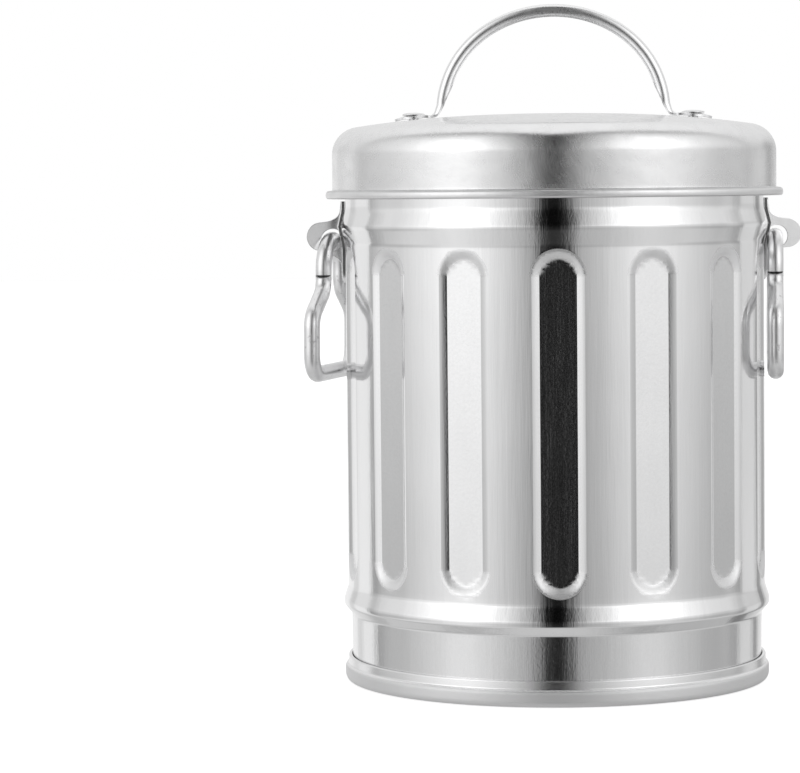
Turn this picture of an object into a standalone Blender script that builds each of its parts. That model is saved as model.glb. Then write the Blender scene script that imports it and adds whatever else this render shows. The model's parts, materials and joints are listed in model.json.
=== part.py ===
"""Tin money box shaped like a small galvanised dustbin.

A fluted, beaded can with a seamed base, a lift-off lid with a riveted strap handle and a
coin slot, and two drop handles bent from wire that hang in ears on the sides of the can.

Units are metres. +Z is up and the origin is the centre of the base, on the surface that
the can stands on. The front is -Y, and the drop handles are at -X (left) and +X (right).
"""
import math

import bmesh
import bpy
from mathutils import Matrix, Vector

MM = 0.001

# ---- driving dimensions -------------------------------------------------------------
TURN_STEPS = 56                     # facets round every large turned piece
GAP = 0.3 * MM                      # air left between neighbouring pieces

SHEET = 0.6 * MM                    # wall of the can, its base and its lid
BODY_RADIUS = 45.3 * MM             # outside of the plain wall
BODY_BOTTOM_Z = 1.2 * MM            # lower edge, inside the base seam
BODY_TOP_Z = 115.6 * MM             # rolled upper edge, inside the lid
BASE_BAND_RADIUS = 44.6 * MM        # wall below the lower bead
CURL_RADIUS = 0.95 * MM             # rolled upper edge

BEAD_RISE = 0.9 * MM
UPPER_BEAD_Z = 94.7 * MM            # lower crease of the upper bead
UPPER_BEAD_HEIGHT = 7.3 * MM
LOWER_BEAD_Z = 14.7 * MM            # lower crease of the lower bead
LOWER_BEAD_HEIGHT = 6.8 * MM

FLUTE_COUNT = 14
FLUTE_TURN = math.radians(0.7)      # the front flute's place round the can
FLUTE_FLOOR_X = 44.4 * MM           # flat floor's distance from the can's axis
FLUTE_HALF_FLOOR = 3.75 * MM
FLUTE_SLOPE = 2.5                   # half-width gained per unit of depth
FLUTE_LOW_Z = 24.6 * MM             # lower end of the floor
FLUTE_HIGH_Z = 91.7 * MM            # upper end of the floor

RIM_RADIUS = 46.1 * MM              # roll at the foot of the base seam
RIM_COLLAR_RADIUS = 45.4 * MM       # plain collar above the roll
RIM_HEIGHT = 5.5 * MM
RIM_STEP_Z = 3.35 * MM              # ledge between the roll and the collar
BASE_PANEL_Z = 4.0 * MM             # underside of the countersunk base panel

LID_RADIUS = 48.0 * MM
LID_SHOULDER_RADIUS = 6.0 * MM
LID_SHOULDER_Z = 113.9 * MM         # where the skirt ends and the shoulder begins
LID_SHOULDER_ARC = 80               # degrees turned by the shoulder before the top begins
LID_CROWN_RISE = 2.6 * MM           # the top's dome above the shoulder
LIP_RADIUS = 49.5 * MM
LIP_BOTTOM_Z = 104.4 * MM
LIP_HEIGHT = 2.6 * MM
SLOT_LENGTH = 32.0 * MM
SLOT_WIDTH = 3.6 * MM
SLOT_Y = 17.0 * MM                  # the slot lies behind the handle

ARCH_TOP_Z = 146.0 * MM
ARCH_HALF_SPAN = 25.3 * MM          # outside of the arch at its feet
FOOT_TIP_X = 34.3 * MM
FOOT_HALF_WIDTH = 4.6 * MM
STRAP_WIDTH = 7.4 * MM
STRAP_SHEET = 0.7 * MM
STRAP_CHANNEL = 2.3 * MM            # depth of the strap's rolled edges
LID_RIVET_X = 30.2 * MM
LID_RIVET_SHANK = 1.1 * MM
LID_RIVET_HEAD = 2.5 * MM
LID_RIVET_HEAD_RISE = 0.7 * MM

WIRE_RADIUS = 1.75 * MM
LOOP_NECK_HALF = 6.8 * MM           # half-distance between the legs' centres at the neck
LOOP_FOOT_HALF = 16.0 * MM          # the same at the widest part
LOOP_HEIGHT = 28.6 * MM             # wire centre at the top to wire centre at the bottom
LOOP_NECK_LENGTH = 10.6 * MM
LOOP_FLARE_HEIGHT = 5.6 * MM
LOOP_CORNER_RADIUS = 4.5 * MM
LOOP_JOINT_GAP = 0.25 * MM          # the wire's two ends meet here
HINGE_Z = 95.6 * MM
RIGHT_HINGE_X = 47.7 * MM
LEFT_HINGE_X = -48.2 * MM
RIGHT_LOOP_TWIST = math.radians(3.2)  # each loop hangs a little turned about the vertical
LEFT_LOOP_TWIST = math.radians(12)
LEFT_LOOP_LEAN = math.radians(0.5)  # and the left one rests on the wall, its foot outwards

EAR_THICKNESS = 0.8 * MM
EAR_REACH = 53.6 * MM               # outermost edge of the ear's lobe
EAR_LOBE_RADIUS = 3.15 * MM
EAR_LOBE_Z = 96.3 * MM
EAR_TOP_Z = 103.9 * MM
EAR_TIP_Z = 86.2 * MM
EAR_HOLE_X = 48.1 * MM
EAR_HOLE_Z = 95.6 * MM
EAR_HOLE_RADIUS = 2.4 * MM
EAR_FLANGE_HALF = 1.5 * MM
EAR_FLANGE_SHEET = 0.7 * MM
EAR_SLANT = math.tan(math.radians(11))  # the plate stands a little off square

TIN = (0.78, 0.79, 0.80)
WIRE_STEEL = (0.72, 0.73, 0.74)
RIVET_STEEL = (0.66, 0.67, 0.69)


# ---- scene and small helpers --------------------------------------------------------
def clear_scene():
    for thing in list(bpy.data.objects):
        bpy.data.objects.remove(thing, do_unlink=True)


def new_collection(name):
    collection = bpy.data.collections.new(name)
    bpy.context.scene.collection.children.link(collection)
    return collection


def metal(name, colour, roughness):
    material = bpy.data.materials.new(name)
    material.use_nodes = True
    shader = material.node_tree.nodes["Principled BSDF"]
    shader.inputs["Base Color"].default_value = (*colour, 1.0)
    shader.inputs["Metallic"].default_value = 1.0
    shader.inputs["Roughness"].default_value = roughness
    return material


def add_object(name, mesh, collection, material=None):
    thing = bpy.data.objects.new(name, mesh)
    collection.objects.link(thing)
    if material is not None:
        mesh.materials.append(material)
    return thing


def evaluated_mesh(thing):
    """The object's mesh with its modifiers applied, its loose caps welded."""
    graph = bpy.context.evaluated_depsgraph_get()
    mesh = bpy.data.meshes.new_from_object(thing.evaluated_get(graph))
    shape = bmesh.new()
    shape.from_mesh(mesh)
    bmesh.ops.remove_doubles(shape, verts=shape.verts, dist=0.00001)
    bmesh.ops.recalc_face_normals(shape, faces=shape.faces)
    shape.to_mesh(mesh)
    shape.free()
    return mesh


def to_mesh_object(thing, collection, material=None):
    """Replace a curve or a modified object by a plain mesh object of the same name."""
    name = thing.name
    place = thing.matrix_world.copy()
    mesh = evaluated_mesh(thing)
    mesh.materials.clear()
    bpy.data.objects.remove(thing, do_unlink=True)
    mesh_object = add_object(name, mesh, collection, material)
    mesh_object.matrix_world = place
    return mesh_object


def as_cutter(thing):
    thing.hide_render = True
    thing.display_type = "WIRE"
    return thing


def boolean(thing, other, operation):
    modifier = thing.modifiers.new(operation.lower(), "BOOLEAN")
    modifier.operation = operation
    modifier.object = other
    modifier.solver = "EXACT"


def shade_round(thing, angle=math.radians(35)):
    thing.data.shade_smooth()
    thing.data.set_sharp_from_angle(angle=angle)


def turned(name, profile, steps, collection, material=None):
    """Turn a profile of (radius, height) points about Z.

    The points run down the outer side first, so that the faces point out. A profile that
    starts and ends on the axis stays open, and any other profile is closed into a ring.
    """
    mesh = bpy.data.meshes.new(name)
    shape = bmesh.new()
    corners = [shape.verts.new((radius, 0.0, height)) for radius, height in profile]
    for first, second in zip(corners, corners[1:]):
        shape.edges.new((first, second))
    if profile[0][0] > 0.0:
        shape.edges.new((corners[-1], corners[0]))
    shape.to_mesh(mesh)
    shape.free()
    thing = add_object(name, mesh, collection, material)
    screw = thing.modifiers.new("turn", "SCREW")
    screw.axis = "Z"
    screw.steps = steps
    screw.render_steps = steps
    screw.use_merge_vertices = True
    screw.merge_threshold = 0.00001
    screw.use_smooth_shade = True
    return thing


def arc(centre, radius, start, end, count):
    """Points of an arc, angles in degrees, counter-clockwise positive."""
    points = []
    for step in range(count + 1):
        angle = math.radians(start + (end - start) * step / count)
        points.append((centre[0] + radius * math.cos(angle), centre[1] + radius * math.sin(angle)))
    return points


def offset_line(points, distance):
    """The line moved sideways to its right by a distance, its ends moved square."""
    moved = []
    last = len(points) - 1
    for index, point in enumerate(points):
        before = Vector(points[max(index - 1, 0)])
        after = Vector(points[min(index + 1, last)])
        here = Vector(point)
        into = (here - before).normalized() if index > 0 else (after - here).normalized()
        out = (after - here).normalized() if index < last else into
        middle = (into + out).normalized()
        stretch = max(middle.dot(into), 0.5)
        side = Vector((middle.y, -middle.x))
        moved.append(tuple(here + side * (distance / stretch)))
    return moved


# ---- the can ------------------------------------------------------------------------
def bead(low_z, height, base_radius, foot_radius):
    """A swaged bead from its upper crease to its lower one: half a sine up, half down."""
    points = []
    steps = 6
    crest_radius = base_radius + BEAD_RISE
    for step in range(steps + 1):
        share = step / steps
        if share <= 0.5:
            radius = base_radius + BEAD_RISE * math.sin(math.pi * share)
        else:
            radius = foot_radius + (crest_radius - foot_radius) * math.sin(math.pi * share)
        points.append((radius, low_z + height * (1.0 - share)))
    return points


def flute_block(name, floor_x, outer_x, half_floor, collection):
    """Stadium blocks standing round the wall, wider outwards, one for each flute."""
    end_steps = 7
    mid_z = (FLUTE_LOW_Z + FLUTE_HIGH_Z) / 2
    half_run = (FLUTE_HIGH_Z - FLUTE_LOW_Z) / 2 - FLUTE_HALF_FLOOR
    shape = bmesh.new()
    for index in range(FLUTE_COUNT):
        angle = FLUTE_TURN - math.pi / 2 + math.tau * index / FLUTE_COUNT
        turn = Matrix.Rotation(angle, 4, "Z")
        rings = []
        for x in (floor_x, outer_x):
            reach = half_floor + FLUTE_SLOPE * (x - floor_x)
            outline = [(y, mid_z + half_run + z) for y, z in arc((0, 0), reach, 0, 180, end_steps)]
            outline += [(y, mid_z - half_run + z) for y, z in arc((0, 0), reach, 180, 360, end_steps)]
            rings.append([shape.verts.new(turn @ Vector((x, y, z))) for y, z in outline])
        inner, outer = rings
        shape.faces.new(list(reversed(inner)))
        shape.faces.new(outer)
        for corner, low in enumerate(inner):
            after = (corner + 1) % len(inner)
            shape.faces.new((low, inner[after], outer[after], outer[corner]))
    bmesh.ops.recalc_face_normals(shape, faces=shape.faces)
    mesh = bpy.data.meshes.new(name)
    shape.to_mesh(mesh)
    shape.free()
    return as_cutter(add_object(name, mesh, collection))


def make_body(parts, cutters, material):
    """Rolled and seamed wall: rolled top edge, two beads and pressed flutes between."""
    curl_x = BODY_RADIUS - SHEET + CURL_RADIUS
    curl_z = BODY_TOP_Z - CURL_RADIUS
    outer = arc((curl_x, curl_z), CURL_RADIUS, 120, -60, 7)
    outer += [(BODY_RADIUS, curl_z - 1.4 * CURL_RADIUS)]
    outer += bead(UPPER_BEAD_Z, UPPER_BEAD_HEIGHT, BODY_RADIUS, BODY_RADIUS)
    outer += bead(LOWER_BEAD_Z, LOWER_BEAD_HEIGHT, BODY_RADIUS, BASE_BAND_RADIUS)
    outer += [(BASE_BAND_RADIUS, BODY_BOTTOM_Z)]
    wall = outer[8:]
    inner = list(reversed(offset_line(wall, SHEET)))
    inner[-1] = (BODY_RADIUS - SHEET, curl_z - CURL_RADIUS)
    body = turned("body_shell", outer + inner, TURN_STEPS, parts, material)
    backs = flute_block("flute_backs", FLUTE_FLOOR_X - SHEET, BODY_RADIUS - 0.3 * SHEET,
                        FLUTE_HALF_FLOOR + 0.2 * SHEET, cutters)
    fronts = flute_block("flute_fronts", FLUTE_FLOOR_X, BODY_RADIUS + 1.0 * MM,
                         FLUTE_HALF_FLOOR, cutters)
    boolean(body, backs, "UNION")
    boolean(body, fronts, "DIFFERENCE")
    body = to_mesh_object(body, parts, material)
    shade_round(body)
    return body


def make_base(parts, material):
    """Countersunk base panel whose edge is folded round the wall's lower edge."""
    channel_out = BASE_BAND_RADIUS + GAP
    channel_in = BASE_BAND_RADIUS - SHEET - GAP
    channel_floor = BODY_BOTTOM_Z - GAP
    chuck_in = channel_in - SHEET
    corner = 0.5 * MM
    profile = [
        (0.0, BASE_PANEL_Z + SHEET),
        (chuck_in - corner, BASE_PANEL_Z + SHEET),
        (channel_in - corner, BASE_PANEL_Z + 0.7 * SHEET),
        (channel_in, BASE_PANEL_Z - corner),
        (channel_in, channel_floor),
        (channel_out, channel_floor),
        (channel_out, RIM_HEIGHT),
        (RIM_COLLAR_RADIUS - 0.4 * corner, RIM_HEIGHT),
        (RIM_COLLAR_RADIUS, RIM_HEIGHT - 0.4 * corner),
        (RIM_COLLAR_RADIUS, RIM_STEP_Z + 0.2 * corner),
        (RIM_RADIUS - 0.6 * corner, RIM_STEP_Z),
        (RIM_RADIUS, RIM_STEP_Z - 0.8 * corner),
        (RIM_RADIUS, 2.4 * corner),
        (RIM_RADIUS - 0.6 * corner, 0.8 * corner),
        (RIM_RADIUS - 2.4 * corner, 0.0),
        (chuck_in + 0.6 * corner, 0.0),
        (chuck_in, corner),
        (chuck_in, BASE_PANEL_Z - corner),
        (chuck_in - corner, BASE_PANEL_Z),
        (0.0, BASE_PANEL_Z),
    ]
    base = turned("base_disc", profile, TURN_STEPS, parts, material)
    shade_round(base)
    return base


# ---- the lid ------------------------------------------------------------------------
def lid_top_edge():
    """Radius and height at which the shoulder's arc runs into the domed top."""
    turn = math.radians(LID_SHOULDER_ARC)
    centre = LID_RADIUS - LID_SHOULDER_RADIUS
    return (centre + LID_SHOULDER_RADIUS * math.cos(turn),
            LID_SHOULDER_Z + LID_SHOULDER_RADIUS * math.sin(turn))


def lid_surface_z(radius):
    """Height of the lid's domed top at a distance from the axis."""
    edge_radius, edge_z = lid_top_edge()
    return edge_z + LID_CROWN_RISE * (1.0 - (radius / edge_radius) ** 2.5)


def slot_cutter(cutters):
    """Round-ended bar that cuts the coin slot through the lid's top."""
    shape = bmesh.new()
    half_run = (SLOT_LENGTH - SLOT_WIDTH) / 2
    outline = [(half_run + x, y) for x, y in arc((0, 0), SLOT_WIDTH / 2, -90, 90, 6)]
    outline += [(x - half_run, y) for x, y in arc((0, 0), SLOT_WIDTH / 2, 90, 270, 6)]
    low = LID_SHOULDER_Z
    face = shape.faces.new([shape.verts.new((x, y + SLOT_Y, low)) for x, y in outline])
    raised = bmesh.ops.extrude_face_region(shape, geom=[face])
    corners = [item for item in raised["geom"] if isinstance(item, bmesh.types.BMVert)]
    bmesh.ops.translate(shape, verts=corners, vec=(0, 0, 3 * LID_SHOULDER_RADIUS))
    bmesh.ops.recalc_face_normals(shape, faces=shape.faces)
    mesh = bpy.data.meshes.new("slot_cutter")
    shape.to_mesh(mesh)
    shape.free()
    return as_cutter(add_object("slot_cutter", mesh, cutters))


def rivet_hole(side, cutters):
    """Cylinder that clears a lid rivet's shank."""
    mesh = bpy.data.meshes.new("rivet_hole")
    shape = bmesh.new()
    radius = LID_RIVET_SHANK + GAP
    bmesh.ops.create_cone(shape, cap_ends=True, segments=12, radius1=radius, radius2=radius,
                          depth=12 * MM,
                          matrix=Matrix.Translation((side * LID_RIVET_X, 0, lid_surface_z(LID_RIVET_X))))
    shape.to_mesh(mesh)
    shape.free()
    return as_cutter(add_object("rivet_hole", mesh, cutters))


def make_lid(parts, cutters, holes, material):
    """Drawn lid: domed top, round shoulder, plain skirt and a flared, hemmed lip."""
    edge = lid_top_edge()[0]
    dome = [(edge * share, lid_surface_z(edge * share)) for share in (0.0, 0.5, 0.75, 0.9)]
    centre = (LID_RADIUS - LID_SHOULDER_RADIUS, LID_SHOULDER_Z)
    shoulder = arc(centre, LID_SHOULDER_RADIUS, LID_SHOULDER_ARC, 0, 6)
    lip_top = LIP_BOTTOM_Z + LIP_HEIGHT
    flare = LIP_RADIUS - LID_RADIUS
    skirt = [
        (LID_RADIUS, lip_top),
        (LID_RADIUS + 0.3 * flare, lip_top - 0.35 * LIP_HEIGHT),
        (LIP_RADIUS - 0.2 * flare, lip_top - 0.7 * LIP_HEIGHT),
    ]
    hem = [(LIP_RADIUS, lip_top - 0.85 * LIP_HEIGHT), (LIP_RADIUS - 0.1 * MM, LIP_BOTTOM_Z)]
    outer = dome + shoulder + skirt
    inner = list(reversed(offset_line(outer, SHEET)))
    inner[-1] = (0.0, outer[0][1] - SHEET)
    hem_end = [(LIP_RADIUS - 0.9 * MM, LIP_BOTTOM_Z)]
    lid = turned("lid_shell", outer + hem + hem_end + inner, TURN_STEPS, parts, material)
    boolean(lid, slot_cutter(cutters), "DIFFERENCE")
    for hole in holes:
        boolean(lid, hole, "DIFFERENCE")
    lid = to_mesh_object(lid, parts, material)
    shade_round(lid)
    return lid


def strap_stations():
    """Stations along one half of the handle, tip to crown.

    Each is (x, z, direction, half-width, channel depth): the direction is the angle of
    the strap's upper side, which turns from straight up on the foot to level at the arch.
    """
    stations = []
    foot_steps = 6
    foot_start = ARCH_HALF_SPAN + 1.2 * MM
    lift = GAP + STRAP_SHEET
    for step in range(foot_steps + 1):
        share = step / foot_steps
        x = FOOT_TIP_X + (foot_start - FOOT_TIP_X) * share
        leaf = math.sqrt(max(1.0 - (1.0 - min(share * 1.6, 1.0)) ** 2, 0.12))
        width = FOOT_HALF_WIDTH * leaf
        if share > 0.6:
            width += (STRAP_WIDTH / 2 - FOOT_HALF_WIDTH) * (share - 0.6) / 0.4
        stations.append((x, lid_surface_z(x) + lift, math.pi / 2, width, 0.1 * MM))
    arch_steps = 12
    base_z = lid_surface_z(ARCH_HALF_SPAN) + lift
    rise = ARCH_TOP_Z - base_z
    for step in range(1, arch_steps + 1):
        share = step / arch_steps
        angle = math.pi / 2 * share
        x = ARCH_HALF_SPAN * math.cos(angle)
        z = base_z + rise * math.sin(angle) ** 0.96
        normal = math.atan2(math.sin(angle) / rise, math.cos(angle) / ARCH_HALF_SPAN)
        depth = STRAP_CHANNEL * min(1.0, 0.25 + share * 3)
        stations.append((x, z, normal, STRAP_WIDTH / 2, depth))
    return stations


def strap_section(half_width, depth):
    """Section of the strap as (sideways, outwards) points: a shallow open channel."""
    outer = []
    steps = 6
    for step in range(steps + 1):
        side = -1.0 + 2.0 * step / steps
        outer.append((half_width * side, -depth * abs(side) ** 3))
    inner = []
    for side, out in reversed(outer):
        shrink = 1.0 - 0.55 * STRAP_SHEET / half_width * abs(side / half_width)
        inner.append((side * shrink, out - STRAP_SHEET))
    return outer + inner


def make_lid_handle(parts, holes, material):
    """Arched strap with leaf-shaped feet, its edges rolled under along the arch."""
    half = strap_stations()
    stations = half + [(-x, z, math.pi - turn, w, d) for x, z, turn, w, d in reversed(half[:-1])]
    shape = bmesh.new()
    rings = []
    for x, z, direction, half_width, depth in stations:
        out = Vector((math.cos(direction), 0.0, math.sin(direction)))
        ring = []
        for side, height in strap_section(half_width, depth):
            ring.append(shape.verts.new(Vector((x, side, z)) + out * height))
        rings.append(ring)
    for first, second in zip(rings, rings[1:]):
        for corner in range(len(first)):
            after = (corner + 1) % len(first)
            shape.faces.new((first[corner], first[after], second[after], second[corner]))
    shape.faces.new(rings[0])
    shape.faces.new(list(reversed(rings[-1])))
    bmesh.ops.recalc_face_normals(shape, faces=shape.faces)
    mesh = bpy.data.meshes.new("lid_handle")
    shape.to_mesh(mesh)
    shape.free()
    handle = add_object("lid_handle", mesh, parts, material)
    for hole in holes:
        boolean(handle, hole, "DIFFERENCE")
    handle = to_mesh_object(handle, parts, material)
    shade_round(handle)
    return handle


def make_lid_rivet(name, side, parts, material):
    """Rivet with a domed head on the strap's foot and a clenched head inside the lid."""
    top = lid_surface_z(LID_RIVET_X) + GAP + STRAP_SHEET + GAP
    under = lid_surface_z(LID_RIVET_X) - SHEET - GAP
    head = [(LID_RIVET_HEAD * math.sin(turn), LID_RIVET_HEAD_RISE * math.cos(turn))
            for turn in (math.pi / 2 * step / 4 for step in range(5))]
    profile = [(radius, top + height) for radius, height in head]
    profile += [
        (LID_RIVET_SHANK, top),
        (LID_RIVET_SHANK, under),
        (1.8 * LID_RIVET_SHANK, under),
        (1.4 * LID_RIVET_SHANK, under - 0.6 * MM),
        (0.0, under - 0.8 * MM),
    ]
    profile[0] = (0.0, profile[0][1])
    rivet = turned(name, profile, 16, parts, material)
    rivet.location.x = side * LID_RIVET_X
    shade_round(rivet)
    return rivet


# ---- ears and drop handles ----------------------------------------------------------
def ear_outline():
    """Outline of an ear's plate in (x, z), on the right side of the can."""
    wall = BODY_RADIUS + GAP
    bead_wall = wall + BEAD_RISE
    flange = EAR_FLANGE_SHEET
    lobe = (EAR_REACH - EAR_LOBE_RADIUS, EAR_LOBE_Z)
    bead_top = UPPER_BEAD_Z + UPPER_BEAD_HEIGHT
    outline = [
        (wall, EAR_TIP_Z),
        (wall + flange, EAR_TIP_Z + flange),
        (wall + 1.4 * flange, EAR_TIP_Z + 4.6 * MM),
    ]
    outline += arc(lobe, EAR_LOBE_RADIUS, -90, 90, 10)
    outline += [
        (lobe[0] - 2.2 * MM, EAR_LOBE_Z + EAR_LOBE_RADIUS + 0.2 * MM),
        (bead_wall + 1.2 * MM, bead_top - 0.9 * MM),
        (bead_wall + flange, bead_top + 0.6 * MM),
        (bead_wall + flange, EAR_TOP_Z),
        (bead_wall, EAR_TOP_Z),
        (bead_wall, UPPER_BEAD_Z + 0.4 * MM),
        (wall, UPPER_BEAD_Z - 0.6 * MM),
    ]
    return outline


def prism(name, outline, low, high, to_world, collection):
    """A flat outline given thickness: its points and the two levels go through to_world."""
    shape = bmesh.new()
    face = shape.faces.new([shape.verts.new(to_world(a, b, low)) for a, b in outline])
    raised = bmesh.ops.extrude_face_region(shape, geom=[face])
    corners = [item for item in raised["geom"] if isinstance(item, bmesh.types.BMVert)]
    bmesh.ops.translate(shape, verts=corners, vec=to_world(0, 0, high) - to_world(0, 0, low))
    bmesh.ops.recalc_face_normals(shape, faces=shape.faces)
    mesh = bpy.data.meshes.new(name)
    shape.to_mesh(mesh)
    shape.free()
    return add_object(name, mesh, collection)


def make_ear(name, side, parts, cutters, material):
    """Ear: a lobed plate standing out from the wall, on a narrow flange along it."""
    wall = BODY_RADIUS + GAP

    def slanted(x, z, y):
        return Vector((side * x, side * (y + (x - wall) * EAR_SLANT), z))

    plate = prism(name, ear_outline(), -EAR_THICKNESS / 2, EAR_THICKNESS / 2, slanted, parts)
    bead_wall = wall + BEAD_RISE
    half = EAR_FLANGE_HALF
    hole_low = EAR_HOLE_Z - EAR_HOLE_RADIUS
    hole_high = EAR_HOLE_Z + EAR_HOLE_RADIUS
    leaf = [(0.3 * half, EAR_TIP_Z), (half, hole_low - 2.6 * MM), (half, hole_low),
            (-half, hole_low), (-half, hole_low - 2.6 * MM), (-0.3 * half, EAR_TIP_Z)]
    lower = prism(name + "_leaf", leaf, wall, wall + EAR_FLANGE_SHEET,
                  lambda y, z, x: Vector((side * x, y, z)), cutters)
    strip = [(half, hole_high), (half, EAR_TOP_Z), (-half, EAR_TOP_Z), (-half, hole_high)]
    upper = prism(name + "_strip", strip, bead_wall, bead_wall + EAR_FLANGE_SHEET,
                  lambda y, z, x: Vector((side * x, y, z)), cutters)
    hole = prism(name + "_hole", arc((EAR_HOLE_X, EAR_HOLE_Z), EAR_HOLE_RADIUS, 0, 345, 23),
                 -2 * EAR_THICKNESS, 2 * EAR_THICKNESS, slanted, cutters)
    for helper in (lower, upper, hole):
        as_cutter(helper)
    boolean(plate, lower, "UNION")
    boolean(plate, upper, "UNION")
    boolean(plate, hole, "DIFFERENCE")
    ear = to_mesh_object(plate, parts, material)
    shade_round(ear, math.radians(25))
    return ear


def round_corner(before, corner, after, radius, count):
    """Points of the arc that rounds a corner between two straight runs."""
    corner = Vector(corner)
    to_before = (Vector(before) - corner).normalized()
    to_after = (Vector(after) - corner).normalized()
    half_angle = to_before.angle(to_after) / 2
    reach = radius / math.tan(half_angle)
    middle = corner + (to_before + to_after).normalized() * (radius / math.sin(half_angle))
    start = corner + to_before * reach - middle
    end = corner + to_after * reach - middle
    turn = start.angle_signed(end)
    points = []
    for step in range(count + 1):
        spin = Matrix.Rotation(-turn * step / count, 2)
        points.append(tuple(middle + spin @ start))
    return points


def loop_half():
    """Half of the loop's centre line in (sideways, height), from its top to its foot.

    The top is a half circle, the neck is straight, the legs then flare and straighten
    again, and the foot is a straight bar between two round corners.
    """
    neck_z = -LOOP_NECK_HALF
    flare_z = -LOOP_NECK_LENGTH
    flare_end_z = flare_z - LOOP_FLARE_HEIGHT
    foot_z = -LOOP_HEIGHT
    top = arc((0.0, neck_z), LOOP_NECK_HALF, 90, 0, 8)
    flare_top = (LOOP_NECK_HALF, flare_z)
    flare_foot = (LOOP_FOOT_HALF, flare_end_z)
    bottom = (LOOP_FOOT_HALF, foot_z)
    line = list(top)
    line += round_corner(top[-1], flare_top, flare_foot, 4.5 * MM, 3)
    line += round_corner(flare_top, flare_foot, bottom, 4.5 * MM, 3)
    line += round_corner(flare_foot, bottom, (0.0, foot_z), LOOP_CORNER_RADIUS, 5)
    return line


def loop_path():
    """The whole loop, from one end of the wire round to the other end.

    The ends meet on one leg just under the neck, at the end of its straight run.
    """
    half = loop_half()
    joint = Vector((-LOOP_NECK_HALF, -LOOP_NECK_LENGTH + 3.1 * MM))
    mirrored = [(-side, height) for side, height in half]
    above = [point for point in mirrored if point[1] > joint.y]
    below = [point for point in mirrored if point[1] < joint.y]
    start = [tuple(joint + Vector((0.0, LOOP_JOINT_GAP / 2)))]
    end = [tuple(joint - Vector((0.0, LOOP_JOINT_GAP / 2)))]
    route = start + list(reversed(above)) + half[1:] + list(reversed(below)) + end
    return route


def make_drop_handle(name, hinge_x, twist, lean, parts, material):
    """Wire loop hanging through an ear, with its origin on its hinge axis."""
    curve = bpy.data.curves.new(name, "CURVE")
    curve.dimensions = "3D"
    curve.bevel_depth = WIRE_RADIUS
    curve.bevel_resolution = 2
    curve.use_fill_caps = True
    spline = curve.splines.new("POLY")
    route = loop_path()
    spline.points.add(len(route) - 1)
    for point, (side, height) in zip(spline.points, route):
        point.co = (0.0, side, height, 1.0)
    wire = bpy.data.objects.new(name, curve)
    parts.objects.link(wire)
    outwards = math.copysign(1.0, hinge_x)
    turn = Matrix.Rotation(twist, 4, "Z") @ Matrix.Rotation(-outwards * lean, 4, "Y")
    wire.matrix_world = Matrix.Translation((hinge_x, 0.0, HINGE_Z)) @ turn
    bpy.context.view_layer.update()
    wire = to_mesh_object(wire, parts, material)
    shade_round(wire, math.radians(50))
    return wire


def main():
    clear_scene()
    parts = new_collection("tin_money_box")
    cutters = new_collection("cutters")
    tin = metal("tin", TIN, 0.25)
    lid_tin = metal("lid_tin", TIN, 0.25)
    strap_tin = metal("strap_tin", TIN, 0.3)
    wire_steel = metal("wire_steel", WIRE_STEEL, 0.3)
    rivet_steel = metal("rivet_steel", RIVET_STEEL, 0.35)

    make_body(parts, cutters, tin)
    make_base(parts, tin)
    holes = [rivet_hole(side, cutters) for side in (-1, 1)]
    make_lid(parts, cutters, holes, lid_tin)
    make_lid_handle(parts, holes, strap_tin)
    make_lid_rivet("lid_rivet_left", -1, parts, rivet_steel)
    make_lid_rivet("lid_rivet_right", 1, parts, rivet_steel)
    make_ear("ear_left", -1, parts, cutters, strap_tin)
    make_ear("ear_right", 1, parts, cutters, strap_tin)
    make_drop_handle("drop_handle_left", LEFT_HINGE_X, -LEFT_LOOP_TWIST, LEFT_LOOP_LEAN,
                     parts, wire_steel)
    make_drop_handle("drop_handle_right", RIGHT_HINGE_X, -RIGHT_LOOP_TWIST, 0.0, parts, wire_steel)


main()
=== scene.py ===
"""Tin money box shaped like a small galvanised dustbin: the finished looks round its CAD frame."""

import json
import math

import bmesh
import bpy
from mathutils import Matrix, Vector


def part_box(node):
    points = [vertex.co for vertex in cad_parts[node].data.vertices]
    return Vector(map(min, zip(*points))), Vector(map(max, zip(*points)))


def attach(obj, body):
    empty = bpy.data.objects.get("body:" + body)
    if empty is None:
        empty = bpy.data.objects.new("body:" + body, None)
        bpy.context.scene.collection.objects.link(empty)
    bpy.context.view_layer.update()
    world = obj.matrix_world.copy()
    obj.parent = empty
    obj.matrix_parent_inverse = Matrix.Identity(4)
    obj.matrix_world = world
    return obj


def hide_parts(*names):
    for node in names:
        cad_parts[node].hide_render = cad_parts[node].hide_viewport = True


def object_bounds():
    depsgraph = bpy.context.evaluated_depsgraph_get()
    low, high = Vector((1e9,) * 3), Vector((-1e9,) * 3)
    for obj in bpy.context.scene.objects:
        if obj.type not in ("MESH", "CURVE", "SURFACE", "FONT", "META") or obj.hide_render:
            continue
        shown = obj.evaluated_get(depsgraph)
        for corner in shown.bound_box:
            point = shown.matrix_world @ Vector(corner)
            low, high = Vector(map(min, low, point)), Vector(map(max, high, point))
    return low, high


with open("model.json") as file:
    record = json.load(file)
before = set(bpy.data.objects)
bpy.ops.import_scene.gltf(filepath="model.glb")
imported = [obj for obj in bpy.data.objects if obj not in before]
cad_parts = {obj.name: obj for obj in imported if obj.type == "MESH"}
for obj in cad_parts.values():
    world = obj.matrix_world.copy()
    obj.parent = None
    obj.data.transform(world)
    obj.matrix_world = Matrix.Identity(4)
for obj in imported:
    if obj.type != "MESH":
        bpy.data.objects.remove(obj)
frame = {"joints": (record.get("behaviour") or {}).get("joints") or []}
cad_low, cad_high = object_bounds()
MM = 0.001


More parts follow.
